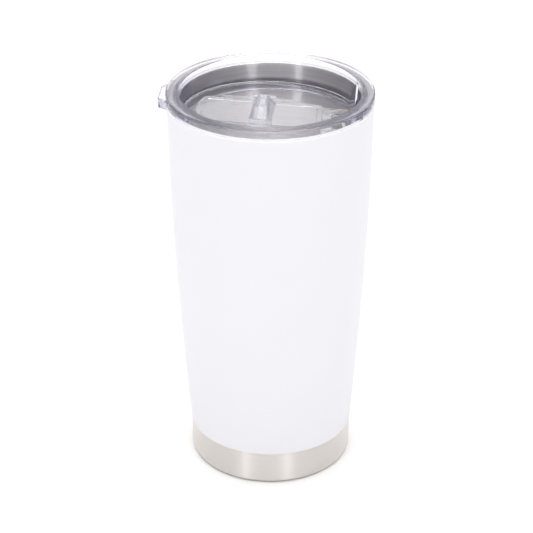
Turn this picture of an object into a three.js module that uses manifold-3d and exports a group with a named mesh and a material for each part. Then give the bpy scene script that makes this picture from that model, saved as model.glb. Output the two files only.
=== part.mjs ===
// An insulated drinking tumbler: a double-walled steel cup with a vacuum between its walls, a powder
// coating over the outer wall down to a bare steel foot band, and a clear push-in lid with a slider
// that opens and closes the sip hole.
//
// Millimetres, +Z up. The origin is on the cup's axis, in the plane that the cup stands on. The pry tab
// is on the -X side and the sip hole on the +X side. The lid's floor falls towards the sip hole, and the
// slider runs down it. The slider is modelled open, and closes by moving SLIDER_TRAVEL along the floor.

import * as THREE from 'three';
import { mergeVertices } from 'three/addons/utils/BufferGeometryUtils.js';
import Module from 'manifold-3d';

const wasm = await Module();
wasm.setup();

// ---- driving dimensions ----

const SIDES = 40; // flats around every turned piece
const ARC_STEPS = 4; // points on a rounded corner

// the cup
const TOTAL_HEIGHT = 175; // standing plane to the top of the lid
const RIM_RADIUS = 43.8; // coated outside at the rim
const FOOT_RADIUS = 36.1; // bare steel foot band
const BAND_HEIGHT = 15.4; // top of the foot band, where the coating ends
const STRAIGHT_HEIGHT = 14.6; // straight cone above the band, before the wall curves upright
const WALL_FULLNESS = 1.666; // how much steeper the wall leaves the band than a plain cone
const WALL_STEPS = 8; // flats along the curved wall
const SHEET = 0.5; // steel sheet of both walls and of the bottoms
const COATING = 0.25; // powder coating
const VACUUM_GAP = 3; // between the walls
const WELD_GAP = 0.05; // hairline between welded or bonded pieces
const LIP_ROUND = 1; // outer rounding of the rim
const LIP_WIDTH = 2.8; // coated outside of the rim to the inside of the mouth
const NECK_BELOW_PLUG = 1.2; // straight mouth past the foot of the lid's plug
const SHOULDER_HEIGHT = 5; // cone from the straight mouth to the tapered liner
const FOOT_FILLET = 2.2; // rounding under the foot band
const FOOT_RING_WIDTH = 3.1; // flat ring that the cup stands on
const FOOT_SKIRT = 7; // height of the bottom's welded skirt
const BASE_RECESS = 0.5; // bottom disc above the standing plane
const FLOOR_HEIGHT = 12; // underside of the liner's floor
const FLOOR_ROUND = 5; // corner between the liner's floor and wall

// the vacuum port under the cup, and the getter above it
const DIMPLE_RADIUS = 6;
const DIMPLE_RISE = 2.4;
const PORT_RADIUS = 1.1;
const GETTER_RADIUS = 4;
const GETTER_THICKNESS = 2;
const GETTER_WALL = 0.4;

// reflective foil round the liner
const FOIL = 0.1;
const FOIL_MARGIN = 8; // bare liner left above and below the foil

// the lid
const FLANGE_THICKNESS = 4;
const FLANGE_OVERHANG = 0.3; // flange past the coated rim
const SEAT_GAP = 0.1; // hairline between the flange and the rim
const PLUG_CLEARANCE = 0.6; // plug to the mouth
const PLUG_WALL_TOP = 1.9; // plug wall at the flange, and at its foot: the recess has draft
const PLUG_WALL_FOOT = 3;
const PLUG_SKIRT = 0.87; // plug past the lowest edge of the lid's floor
const RECESS_DEPTH = 12.4; // flange to the floor, on the axis
const FLOOR_TILT = 3.25; // degrees that the floor falls towards the sip hole
const LID_FLOOR = 2;
const GASKET_HEIGHT = 3.1;
const GASKET_DEPTH = 1.2; // groove depth in the plug
const GASKET_SQUEEZE_GAP = 0.1; // sealing edge to the mouth
const GASKET_ABOVE_FOOT = 1.2; // groove above the plug's foot

// the pry tab
const TAB_REACH = 2.9; // past the flange
const TAB_TIP_WIDTH = 14;
const TAB_ROOT_WIDTH = 20;
const TAB_BELOW_FLANGE = 2.8;
const TAB_ABOVE_FLANGE = 1.6; // above the flange's underside

// the sip hole, its sump and the flat wall behind it; lengths run down the floor from the axis
const SIP_WALL_SETBACK = 5.2; // flat wall's foot to the round recess wall
const SIP_WALL_LEAN = 2.6; // run of the flat wall over its rise
const SIP_WALL_ROOT = 2.3; // thickness of the flat wall at the floor, and as high as the recess is deep
const SIP_WALL_TOP = 0.9;
const SUMP_DEPTH = 1;
const SUMP_LENGTH = 10.4;
const SUMP_WIDTH = 27.4;
const SIP_LENGTH = 16.4; // across the slide
const SIP_WIDTH = 5.2; // along the slide
const SIP_CORNER = 2.4;
const SIP_SETBACK = 1; // hole to the flat wall's foot

// the slider and its rails
const SLIDER_WIDTH = 25.2;
const SLIDER_THICKNESS = 1.5;
const SLIDER_TRAVEL = 10.1;
const SLIDER_STOP_GAP = 0.3; // slider end to the flat wall when closed
const SLIDER_TAIL_GAP = 5.8; // slider tail to the recess wall when open
const SLIDER_CORNER = 2.5;
const RUNNING_GAP = 0.3;
const RAIL_THICKNESS = 1.1;
const RAIL_HEIGHT = 2.1;
const RAIL_LENGTH = 33.8;
const RAIL_LIP = 0.4;
const GRIP_FROM_FRONT = 25.4; // slider's front end to the middle of its grip
const GRIP_HEIGHT = 7; // above the lid's floor
const GRIP_FOOT_WIDTH = 10; // along the slide
const GRIP_TOP_WIDTH = 5.3;
const GRIP_TOP_LENGTH = 14; // across the slide
const GRIP_SHOULDER_LENGTH = 23;
const GRIP_WALL = 1.3;
const ARM_THICKNESS = 1; // arms over the rails, and the legs they end in

// ---- heights and radii that follow from them ----

const RIM_HEIGHT = TOTAL_HEIGHT - FLANGE_THICKNESS; // underside of the flange
const LIP_TOP = RIM_HEIGHT - SEAT_GAP;
const STEEL_RIM = RIM_RADIUS - COATING;
const MOUTH_RADIUS = RIM_RADIUS - LIP_WIDTH;
const LINER_TOP_OUTSIDE = MOUTH_RADIUS + SHEET;
const COVER_TOP = BASE_RECESS + SHEET;
const BOTTOM_UNDERSIDE = COVER_TOP + WELD_GAP;
const DIMPLE_UNDERSIDE = BOTTOM_UNDERSIDE + DIMPLE_RISE;
const FOOT_OPENING = FOOT_RADIUS - FOOT_FILLET - FOOT_RING_WIDTH;

const FLANGE_RADIUS = RIM_RADIUS + FLANGE_OVERHANG;
const PLUG_RADIUS = MOUTH_RADIUS - PLUG_CLEARANCE;
const RECESS_TOP_RADIUS = PLUG_RADIUS - PLUG_WALL_TOP;
const RECESS_FOOT_RADIUS = PLUG_RADIUS - PLUG_WALL_FOOT;
const GROOVE_RADIUS = PLUG_RADIUS - GASKET_DEPTH;

// Places on the lid's floor are [along, across, up] from the point where the floor meets the axis.
const FLOOR_CENTRE = TOTAL_HEIGHT - RECESS_DEPTH;
const FLOOR_DROP = RECESS_FOOT_RADIUS * Math.tan(THREE.MathUtils.degToRad(FLOOR_TILT));
const PLUG_FOOT = FLOOR_CENTRE - FLOOR_DROP - LID_FLOOR - PLUG_SKIRT;
const NECK_FOOT = PLUG_FOOT - NECK_BELOW_PLUG;
const GROOVE_FOOT = PLUG_FOOT + GASKET_ABOVE_FOOT;
const GROOVE_TOP = GROOVE_FOOT + GASKET_HEIGHT;
const SIP_WALL_FOOT = RECESS_FOOT_RADIUS - SIP_WALL_SETBACK;
const RAIL_INNER = SLIDER_WIDTH / 2 + RUNNING_GAP;
const SLIDER_FRONT = SIP_WALL_FOOT - SLIDER_STOP_GAP - SLIDER_TRAVEL;
const GRIP_ALONG = SLIDER_FRONT - GRIP_FROM_FRONT;
const RAIL_FRONT = GRIP_ALONG + GRIP_FOOT_WIDTH / 2 + SLIDER_TRAVEL + RUNNING_GAP;

// Outside radius of the steel wall at a height: a band, a short straight cone, then a parabola that
// brings the wall nearly upright at the rim.
function steelRadius(z) {
  const rise = LIP_TOP - BAND_HEIGHT;
  const u = Math.max(0, z - BAND_HEIGHT) / rise;
  const start = STRAIGHT_HEIGHT / rise;
  const bend = Math.max(0, u - start) / (1 - start);
  const share = WALL_FULLNESS * u - (WALL_FULLNESS - 1) * bend * bend;
  return FOOT_RADIUS + (STEEL_RIM - FOOT_RADIUS) * share;
}

// ---- helpers ----

// Points [r, z] up the steel wall between two heights, moved outwards by an offset.
function wallPoints(low, high, offset, steps = WALL_STEPS) {
  return Array.from({ length: steps + 1 }, (_, i) => {
    const z = low + ((high - low) * i) / steps;
    return [steelRadius(z) + offset, z];
  });
}

// Points [r, z] round a corner, from one angle to another, in degrees from +r towards +z.
function arcPoints(r, z, radius, from, to, steps = ARC_STEPS) {
  return Array.from({ length: steps + 1 }, (_, i) => {
    const angle = THREE.MathUtils.degToRad(from + ((to - from) * i) / steps);
    return [r + radius * Math.cos(angle), z + radius * Math.sin(angle)];
  });
}

// A solid turned about Z. The profile runs anticlockwise, with r to the right and z up.
function turned(profile) {
  const points = profile.map(([r, z]) => new THREE.Vector2(r, z));
  return new THREE.LatheGeometry(points, SIDES).rotateX(Math.PI / 2);
}

// A turned ring, whose profile closes on itself.
function turnedRing(profile) {
  return turned([...profile, profile[0]]);
}

function shapeOf(points) {
  return new THREE.Shape(points.map(([x, y]) => new THREE.Vector2(x, y)));
}

// A plan outline in X and Y, raised between two heights.
function raised(shape, low, high) {
  const options = { depth: high - low, bevelEnabled: false, curveSegments: ARC_STEPS };
  return new THREE.ExtrudeGeometry(shape, options).translate(0, 0, low);
}

// An outline in Y and Z, run along X.
function alongX(shape, from, to) {
  const turn = new THREE.Matrix4().makeBasis(
    new THREE.Vector3(0, 1, 0),
    new THREE.Vector3(0, 0, 1),
    new THREE.Vector3(1, 0, 0),
  );
  return raised(shape, from, to).applyMatrix4(turn);
}

// An outline in X and Z, run across Y by the same length each way.
function acrossY(shape, half) {
  const turn = new THREE.Matrix4().makeBasis(
    new THREE.Vector3(1, 0, 0),
    new THREE.Vector3(0, 0, 1),
    new THREE.Vector3(0, -1, 0),
  );
  return raised(shape, -half, half).applyMatrix4(turn);
}

// Geometry to a solid that can be cut and joined, and back.
function solid(geometry) {
  const bare = geometry.clone();
  bare.deleteAttribute('normal');
  bare.deleteAttribute('uv');
  const merged = mergeVertices(bare, 1e-4);
  const corners = [];
  for (let i = 0; i < merged.index.count; i += 3) {
    const [a, b, c] = merged.index.array.slice(i, i + 3);
    if (a !== b && b !== c && c !== a) corners.push(a, b, c);
  }
  return new wasm.Manifold(new wasm.Mesh({
    numProp: 3,
    vertProperties: Float32Array.from(merged.attributes.position.array),
    triVerts: Uint32Array.from(corners),
  }));
}

// Lays a geometry made from the lid's floor outwards onto the sloping floor.
function onFloor(geometry) {
  return geometry
    .rotateY(THREE.MathUtils.degToRad(FLOOR_TILT))
    .translate(0, 0, FLOOR_CENTRE);
}

function geometryOf(body) {
  const mesh = body.getMesh();
  const geometry = new THREE.BufferGeometry();
  geometry.setAttribute('position', new THREE.BufferAttribute(mesh.vertProperties, 3));
  geometry.setIndex(new THREE.BufferAttribute(mesh.triVerts, 1));
  geometry.computeVertexNormals();
  return geometry;
}

// ---- the steel cup ----

// Foot ring, fillet, band, wall and the lip that turns in to meet the liner.
function outerShell() {
  const ringEdge = FOOT_RADIUS - FOOT_FILLET;
  const lipInner = LINER_TOP_OUTSIDE + WELD_GAP;
  const lipCentre = LIP_TOP - LIP_ROUND;
  return turnedRing([
    [FOOT_OPENING, 0],
    ...arcPoints(ringEdge, FOOT_FILLET, FOOT_FILLET, -90, 0),
    ...wallPoints(BAND_HEIGHT, lipCentre, 0),
    ...arcPoints(steelRadius(lipCentre) - LIP_ROUND, lipCentre, LIP_ROUND, 0, 90).slice(1),
    [lipInner, LIP_TOP],
    [lipInner, LIP_TOP - SHEET],
    [steelRadius(lipCentre) - LIP_ROUND, LIP_TOP - SHEET],
    ...wallPoints(BAND_HEIGHT, lipCentre, -SHEET).reverse(),
    ...arcPoints(ringEdge, FOOT_FILLET, FOOT_FILLET - SHEET, 0, -90),
    [FOOT_OPENING, SHEET],
  ]);
}

// The powder coating on the outer shell, from the band to the rounding of the lip.
function bodyCoating() {
  const lipCentre = LIP_TOP - LIP_ROUND;
  const r = steelRadius(lipCentre) - LIP_ROUND;
  const skin = WELD_GAP / 2;
  return turnedRing([
    ...wallPoints(BAND_HEIGHT, lipCentre, COATING),
    ...arcPoints(r, lipCentre, LIP_ROUND + COATING, 0, 45, 2).slice(1),
    ...arcPoints(r, lipCentre, LIP_ROUND + skin, 45, 0, 2),
    ...wallPoints(BAND_HEIGHT, lipCentre, skin).reverse().slice(1),
  ]);
}

// Outside of the liner, from a height up to the shoulder under the mouth.
function linerPoints(low, offset) {
  return wallPoints(low, NECK_FOOT - SHOULDER_HEIGHT, offset - SHEET - VACUUM_GAP);
}

function linerWall() {
  const low = FLOOR_HEIGHT + FLOOR_ROUND + WELD_GAP;
  return turnedRing([
    ...linerPoints(low, 0),
    [LINER_TOP_OUTSIDE, NECK_FOOT],
    [LINER_TOP_OUTSIDE, LIP_TOP],
    [MOUTH_RADIUS, LIP_TOP],
    [MOUTH_RADIUS, NECK_FOOT],
    ...linerPoints(low, -SHEET).reverse(),
  ]);
}

// The liner's floor, a pan whose round corner meets the liner's wall.
function linerBottom() {
  const top = FLOOR_HEIGHT + FLOOR_ROUND;
  const outside = steelRadius(top) - SHEET - VACUUM_GAP;
  const centre = outside - FLOOR_ROUND;
  return turned([
    [0, FLOOR_HEIGHT],
    ...arcPoints(centre, top, FLOOR_ROUND, -90, 0),
    ...arcPoints(centre, top, FLOOR_ROUND - SHEET, 0, -90),
    [0, FLOOR_HEIGHT + SHEET],
  ]);
}

// Foil wrapped round the liner, inside the vacuum.
function reflectiveFoil() {
  const low = FLOOR_HEIGHT + FLOOR_ROUND + FOIL_MARGIN;
  const high = NECK_FOOT - SHOULDER_HEIGHT - FOIL_MARGIN;
  const inner = WELD_GAP - SHEET - VACUUM_GAP;
  return turnedRing([
    ...wallPoints(low, high, inner + FOIL),
    ...wallPoints(low, high, inner).reverse(),
  ]);
}

// The welded bottom of the outer shell: a skirt, a joggle over the foot ring, and a raised dimple
// with the port that the air is drawn out of.
function outerBottom() {
  const skirt = FOOT_RADIUS - SHEET - WELD_GAP;
  const skirtFoot = FOOT_FILLET + SHEET;
  const skirtTop = skirtFoot + FOOT_SKIRT;
  const joggle = FOOT_RADIUS - FOOT_FILLET;
  const ledge = SHEET + WELD_GAP;
  const disc = FOOT_OPENING - WELD_GAP;
  const slope = DIMPLE_RADIUS + DIMPLE_RISE;
  return turnedRing([
    [PORT_RADIUS, DIMPLE_UNDERSIDE],
    [DIMPLE_RADIUS, DIMPLE_UNDERSIDE],
    [slope, BOTTOM_UNDERSIDE],
    [disc, BOTTOM_UNDERSIDE],
    [disc + SHEET, ledge],
    [joggle, ledge],
    [skirt, skirtFoot],
    [skirt, skirtTop],
    [skirt - SHEET, skirtTop],
    [skirt - SHEET, skirtFoot + SHEET / 2],
    [joggle - SHEET / 2, ledge + SHEET],
    [disc + SHEET, ledge + SHEET],
    [disc, BOTTOM_UNDERSIDE + SHEET],
    [slope, BOTTOM_UNDERSIDE + SHEET],
    [DIMPLE_RADIUS, DIMPLE_UNDERSIDE + SHEET],
    [PORT_RADIUS, DIMPLE_UNDERSIDE + SHEET],
  ]);
}

// Bottom disc that hides the port, flush inside the foot ring.
function baseCover() {
  const edge = FOOT_OPENING - WELD_GAP;
  const round = SHEET / 2;
  return turned([
    [0, BASE_RECESS],
    [edge - round, BASE_RECESS],
    [edge, BASE_RECESS + round],
    [edge, COVER_TOP],
    [0, COVER_TOP],
  ]);
}

// Bead of solder glass that seals the port: a dome under the dimple, and a plug through the hole.
function vacuumSealBead() {
  const stem = PORT_RADIUS - WELD_GAP;
  const dome = 2.5 * PORT_RADIUS;
  const top = DIMPLE_UNDERSIDE - WELD_GAP;
  const drop = 0.55 * DIMPLE_RISE;
  return turned([
    [0, top - drop],
    [dome * 0.7, top - drop * 0.75],
    [dome, top],
    [stem, top],
    [stem, DIMPLE_UNDERSIDE + SHEET],
    [0, DIMPLE_UNDERSIDE + SHEET],
  ]);
}

// Cup under the liner's floor that holds the getter, the pellet that soaks up stray gas.
function getterHolder() {
  const top = FLOOR_HEIGHT - WELD_GAP;
  const inside = GETTER_RADIUS + WELD_GAP;
  const low = top - GETTER_WALL - GETTER_THICKNESS - WELD_GAP;
  return turned([
    [0, top - GETTER_WALL],
    [inside, top - GETTER_WALL],
    [inside, low],
    [inside + GETTER_WALL, low],
    [inside + GETTER_WALL, top],
    [0, top],
  ]);
}

function getterPellet() {
  const top = FLOOR_HEIGHT - GETTER_WALL - 2 * WELD_GAP;
  return turned([
    [0, top - GETTER_THICKNESS],
    [GETTER_RADIUS, top - GETTER_THICKNESS],
    [GETTER_RADIUS, top],
    [0, top],
  ]);
}

// ---- the lid ----

// The turned outside of the lid, still solid: plug with its gasket groove, and flange.
function lidBlank() {
  const edge = 0.4;
  const corner = 1;
  const lead = 0.8; // taper that guides the plug into the mouth
  return turned([
    [0, PLUG_FOOT],
    [GROOVE_RADIUS, PLUG_FOOT],
    [PLUG_RADIUS, PLUG_FOOT + lead],
    [PLUG_RADIUS, GROOVE_FOOT],
    [GROOVE_RADIUS, GROOVE_FOOT],
    [GROOVE_RADIUS, GROOVE_TOP],
    [PLUG_RADIUS, GROOVE_TOP],
    [PLUG_RADIUS, RIM_HEIGHT],
    [FLANGE_RADIUS - edge, RIM_HEIGHT],
    [FLANGE_RADIUS, RIM_HEIGHT + edge],
    ...arcPoints(FLANGE_RADIUS - corner, TOTAL_HEIGHT - corner, corner, 0, 90, 3),
    [0, TOTAL_HEIGHT],
  ]);
}

// The space inside the recess wall, down to the plug's foot, with an eased edge at the flange.
function recessBore() {
  const edge = 0.4;
  return turned([
    [0, PLUG_FOOT - 1],
    [RECESS_FOOT_RADIUS, PLUG_FOOT - 1],
    [RECESS_FOOT_RADIUS, FLOOR_CENTRE],
    [RECESS_TOP_RADIUS, TOTAL_HEIGHT - edge],
    [RECESS_TOP_RADIUS + 2 * edge, TOTAL_HEIGHT + edge],
    [0, TOTAL_HEIGHT + edge],
  ]);
}

// Where pieces that join the recess wall end: a little way into the wall, short of the gasket's groove.
function insideWall() {
  const into = 0.8;
  return solid(turned([
    [0, PLUG_FOOT],
    [RECESS_FOOT_RADIUS + into, PLUG_FOOT],
    [RECESS_FOOT_RADIUS + into, FLOOR_CENTRE],
    [RECESS_TOP_RADIUS + into, TOTAL_HEIGHT - into / 2],
    [0, TOTAL_HEIGHT - into / 2],
  ]));
}

// The sloping floor.
function lidFloor() {
  const plate = new THREE.BoxGeometry(2 * FLANGE_RADIUS, 2 * FLANGE_RADIUS, LID_FLOOR);
  return solid(onFloor(plate.translate(0, 0, -LID_FLOOR / 2)));
}

// Pry tab: a short trapezoid that hangs past the flange, clear of the cup's wall.
function pryTab() {
  const root = FLANGE_RADIUS - 2;
  const tip = FLANGE_RADIUS + TAB_REACH;
  const chamfer = 1.2;
  const half = TAB_TIP_WIDTH / 2;
  const outline = shapeOf([
    [-root, -TAB_ROOT_WIDTH / 2],
    [-root, TAB_ROOT_WIDTH / 2],
    [-tip + chamfer, half],
    [-tip, half - chamfer],
    [-tip, chamfer - half],
    [-tip + chamfer, -half],
  ]);
  const low = RIM_HEIGHT - TAB_BELOW_FLANGE;
  const keepOff = turned([
    [0, low - 1],
    [FLANGE_RADIUS, low - 1],
    [FLANGE_RADIUS, RIM_HEIGHT],
    [0, RIM_HEIGHT],
  ]);
  return solid(raised(outline, low, RIM_HEIGHT + TAB_ABOVE_FLANGE)).subtract(solid(keepOff));
}

// Flat leaning wall behind the sip hole, tapered upwards, with a narrow pocket left behind it.
function sipWall() {
  const low = -LID_FLOOR / 2;
  const high = RECESS_DEPTH + 4;
  const front = (z) => SIP_WALL_FOOT + (SIP_WALL_LEAN * z) / RECESS_DEPTH;
  const back = (z) => front(z) + SIP_WALL_ROOT + ((SIP_WALL_TOP - SIP_WALL_ROOT) * z) / RECESS_DEPTH;
  const outline = shapeOf([
    [front(low), low],
    [back(low), low],
    [back(high), high],
    [front(high), high],
  ]);
  return solid(onFloor(acrossY(outline, FLANGE_RADIUS)));
}

// Shallow sump in the floor that falls to the flat wall.
function sump() {
  const start = SIP_WALL_FOOT - SUMP_LENGTH;
  const slope = SUMP_DEPTH / SUMP_LENGTH;
  const outline = shapeOf([
    [start - 1, slope],
    [SIP_WALL_FOOT, -SUMP_DEPTH],
    [SIP_WALL_FOOT, 1],
    [start - 1, 1],
  ]);
  return solid(onFloor(acrossY(outline, SUMP_WIDTH / 2)));
}

// The sip hole, a slot with round corners.
function sipHole() {
  const far = SIP_WALL_FOOT - SIP_SETBACK - SIP_CORNER;
  const near = SIP_WALL_FOOT - SIP_SETBACK - SIP_WIDTH + SIP_CORNER;
  const across = SIP_LENGTH / 2 - SIP_CORNER;
  const outline = new THREE.Shape();
  outline.absarc(far, across, SIP_CORNER, 0, Math.PI / 2, false);
  outline.absarc(near, across, SIP_CORNER, Math.PI / 2, Math.PI, false);
  outline.absarc(near, -across, SIP_CORNER, Math.PI, 1.5 * Math.PI, false);
  outline.absarc(far, -across, SIP_CORNER, 1.5 * Math.PI, 2 * Math.PI, false);
  return solid(onFloor(raised(outline, -LID_FLOOR - 1, 1)));
}

// One guide rail, with a lip along its top that the slider's leg hooks under.
function guideRail(side) {
  const inner = RAIL_INNER;
  const outer = inner + RAIL_THICKNESS;
  const root = -LID_FLOOR / 2;
  const section = [
    [inner, root],
    [outer, root],
    [outer, RAIL_HEIGHT - RAIL_LIP],
    [outer + RAIL_LIP, RAIL_HEIGHT - RAIL_LIP],
    [outer + RAIL_LIP, RAIL_HEIGHT],
    [inner, RAIL_HEIGHT],
  ].map(([y, z]) => [side * y, z]);
  return solid(onFloor(alongX(shapeOf(section), RAIL_FRONT - RAIL_LENGTH, RAIL_FRONT)));
}

function lidBody() {
  const inside = lidFloor()
    .subtract(sump())
    .add(sipWall())
    .subtract(sipHole())
    .add(guideRail(1))
    .add(guideRail(-1))
    .intersect(insideWall());
  return geometryOf(solid(lidBlank()).subtract(solid(recessBore())).add(inside).add(pryTab()));
}

// Silicone ring in the plug's groove, thickest at mid height where it meets the mouth.
function lidGasket() {
  const inner = GROOVE_RADIUS + WELD_GAP;
  const outer = MOUTH_RADIUS - GASKET_SQUEEZE_GAP;
  const low = GROOVE_FOOT + WELD_GAP;
  const high = GROOVE_TOP - WELD_GAP;
  const third = (high - low) / 3;
  return turnedRing([
    [inner, low],
    [PLUG_RADIUS - 0.1, low],
    [outer, low + third],
    [outer, high - third],
    [PLUG_RADIUS - 0.1, high],
    [inner, high],
  ]);
}

// ---- the slider, made on a level floor at height 0 and laid on the lid's floor ----

// Flat plate, straight with round corners at the front and an arc about the lid's axis at the tail.
function sliderPlate() {
  const half = SLIDER_WIDTH / 2;
  const tail = RECESS_FOOT_RADIUS - SLIDER_TAIL_GAP;
  const sweep = Math.asin(half / tail);
  const corner = SLIDER_CORNER;
  const outline = new THREE.Shape();
  outline.moveTo(SLIDER_FRONT, corner - half);
  outline.absarc(SLIDER_FRONT - corner, half - corner, corner, 0, Math.PI / 2, false);
  outline.absarc(0, 0, tail, Math.PI - sweep, Math.PI + sweep, false);
  outline.absarc(SLIDER_FRONT - corner, corner - half, corner, -Math.PI / 2, 0, false);
  return raised(outline, RUNNING_GAP, RUNNING_GAP + SLIDER_THICKNESS);
}

// Bell outline of the grip along the slide, shrunk by a wall thickness for its hollow.
function gripBell(wall) {
  const foot = GRIP_FOOT_WIDTH / 2 - wall;
  const top = GRIP_TOP_WIDTH / 2 - wall;
  const low = RUNNING_GAP + SLIDER_THICKNESS - wall;
  const high = GRIP_HEIGHT - wall;
  const base = wall > 0 ? -1 : RUNNING_GAP;
  const outline = new THREE.Shape();
  outline.moveTo(GRIP_ALONG - foot, base);
  outline.lineTo(GRIP_ALONG + foot, base);
  outline.lineTo(GRIP_ALONG + foot, low);
  outline.quadraticCurveTo(GRIP_ALONG + top, low, GRIP_ALONG + top, high);
  outline.lineTo(GRIP_ALONG - top, high);
  outline.quadraticCurveTo(GRIP_ALONG - top, low, GRIP_ALONG - foot, low);
  return solid(acrossY(outline, SLIDER_WIDTH / 2));
}

// Roof outline of the grip across the slide: a flat top with a slope down to each side.
function gripRoof(wall) {
  const top = GRIP_TOP_LENGTH / 2 - wall;
  const foot = GRIP_SHOULDER_LENGTH / 2 - wall;
  const shoulder = RAIL_HEIGHT + RUNNING_GAP;
  const high = GRIP_HEIGHT - wall;
  const outline = shapeOf([
    [-foot, -2],
    [foot, -2],
    [foot, shoulder],
    [top, high],
    [-top, high],
    [-foot, shoulder],
  ]);
  return solid(alongX(outline, GRIP_ALONG - GRIP_FOOT_WIDTH, GRIP_ALONG + GRIP_FOOT_WIDTH));
}

// One arm from the grip over a rail, down into a leg whose hook catches under the rail's lip.
function sliderArm(side) {
  const overRail = RAIL_HEIGHT + RUNNING_GAP;
  const railOuter = RAIL_INNER + RAIL_THICKNESS;
  const legInner = railOuter + RAIL_LIP + RUNNING_GAP;
  const hookTop = RAIL_HEIGHT - RAIL_LIP - RUNNING_GAP;
  const root = SLIDER_WIDTH / 2 - 2 * ARM_THICKNESS;
  const section = [
    [root, RUNNING_GAP],
    [SLIDER_WIDTH / 2, RUNNING_GAP],
    [SLIDER_WIDTH / 2, overRail],
    [legInner, overRail],
    [legInner, hookTop],
    [railOuter + RUNNING_GAP, hookTop],
    [railOuter + RUNNING_GAP, RUNNING_GAP],
    [legInner + ARM_THICKNESS, RUNNING_GAP],
    [legInner + ARM_THICKNESS, overRail + ARM_THICKNESS],
    [root, overRail + ARM_THICKNESS],
  ].map(([y, z]) => [side * y, z]);
  const half = GRIP_FOOT_WIDTH / 2;
  return solid(alongX(shapeOf(section), GRIP_ALONG - half, GRIP_ALONG + half));
}

function slider() {
  const grip = gripBell(0).intersect(gripRoof(0));
  const hollow = gripBell(GRIP_WALL).intersect(gripRoof(GRIP_WALL));
  const whole = solid(sliderPlate()).add(grip).add(sliderArm(1)).add(sliderArm(-1));
  return onFloor(geometryOf(whole.subtract(hollow)));
}

// ---- the tumbler ----

const steel = { color: '#c9c3be', roughness: 0.32, metalness: 1 };
const clear = { color: '#e6e8ec', roughness: 0.06, metalness: 0, transparent: true, opacity: 0.35 };

const PIECES = {
  outer_shell: [outerShell, steel],
  body_coating: [bodyCoating, { color: '#f3f2f4', roughness: 0.55, metalness: 0 }],
  liner_wall: [linerWall, steel],
  liner_bottom: [linerBottom, steel],
  reflective_foil: [reflectiveFoil, { color: '#c47f55', roughness: 0.25, metalness: 1 }],
  outer_bottom: [outerBottom, steel],
  base_cover: [baseCover, steel],
  vacuum_seal_bead: [vacuumSealBead, { color: '#3d4146', roughness: 0.2, metalness: 0 }],
  getter_holder: [getterHolder, steel],
  getter_pellet: [getterPellet, { color: '#6b6a68', roughness: 0.8, metalness: 0.6 }],
  lid_body: [lidBody, clear],
  lid_gasket: [lidGasket, { color: '#e8e9ec', roughness: 0.45, metalness: 0 }],
  slider: [slider, clear],
};

const tumbler = new THREE.Group();
for (const [name, [make, finish]] of Object.entries(PIECES)) {
  const mesh = new THREE.Mesh(make(), new THREE.MeshStandardMaterial(finish));
  mesh.name = name;
  tumbler.add(mesh);
}

export default tumbler;
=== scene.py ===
"""An insulated steel tumbler with a white powder-coated body and a clear slide lid, on a pale floor.

Lengths of pieces are millimetres and become metres when a mesh is made. The camera's and the lamps' are
metres. The cup's axis is Z. The lid's floor falls towards the sip hole on the +X side, and the slider runs
down it.
"""

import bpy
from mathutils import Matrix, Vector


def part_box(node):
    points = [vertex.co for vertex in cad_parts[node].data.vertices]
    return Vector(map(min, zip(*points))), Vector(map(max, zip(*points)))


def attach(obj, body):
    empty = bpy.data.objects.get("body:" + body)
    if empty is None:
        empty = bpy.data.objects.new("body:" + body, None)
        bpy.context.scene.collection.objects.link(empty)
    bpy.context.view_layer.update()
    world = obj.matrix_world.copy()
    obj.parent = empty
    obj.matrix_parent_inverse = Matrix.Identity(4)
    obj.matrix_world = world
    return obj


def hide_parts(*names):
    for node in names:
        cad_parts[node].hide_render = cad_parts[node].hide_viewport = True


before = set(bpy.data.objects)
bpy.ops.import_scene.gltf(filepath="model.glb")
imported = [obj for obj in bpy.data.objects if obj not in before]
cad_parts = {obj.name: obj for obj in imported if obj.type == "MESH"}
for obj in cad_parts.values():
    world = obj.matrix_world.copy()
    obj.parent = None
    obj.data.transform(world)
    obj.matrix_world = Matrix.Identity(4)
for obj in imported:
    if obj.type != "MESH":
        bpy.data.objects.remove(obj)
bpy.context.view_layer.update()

import math

import bpy
import numpy as np
from mathutils import Matrix

MM = 0.001

# ---- how finely surfaces are divided ----

SIDES = 192  # around turned pieces
ARC_STEPS = 6  # points on a rounded corner
GRIP_CORNER_STEPS = 5
WALL_STEPS = 40  # rows up the curved wall
SHARP_ANGLE = math.radians(32)  # edges sharper than this stay crisp
POLE = 0.5  # radius of the flat cap that closes a turned piece on its axis
FINE_POLE = 0.2


def corners_of(node):
    """Lowest and highest corner of a CAD node, in millimetres."""
    return [np.array(corner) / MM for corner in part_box(node)]


# ---- sizes, from the frame where it gives them ----

coating_low, coating_high = corners_of("body_coating")
shell_high = corners_of("outer_shell")[1]
lid_low, lid_high = corners_of("lid_body")
gasket_low, gasket_high = corners_of("lid_gasket")
liner_low, liner_high = corners_of("liner_wall")
pan_low, pan_high = corners_of("liner_bottom")
foil_low, foil_high = corners_of("reflective_foil")
cover_low, cover_high = corners_of("base_cover")
bottom_low, bottom_high = corners_of("outer_bottom")
bead_low, bead_high = corners_of("vacuum_seal_bead")
holder_low, holder_high = corners_of("getter_holder")
pellet_low, pellet_high = corners_of("getter_pellet")

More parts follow.
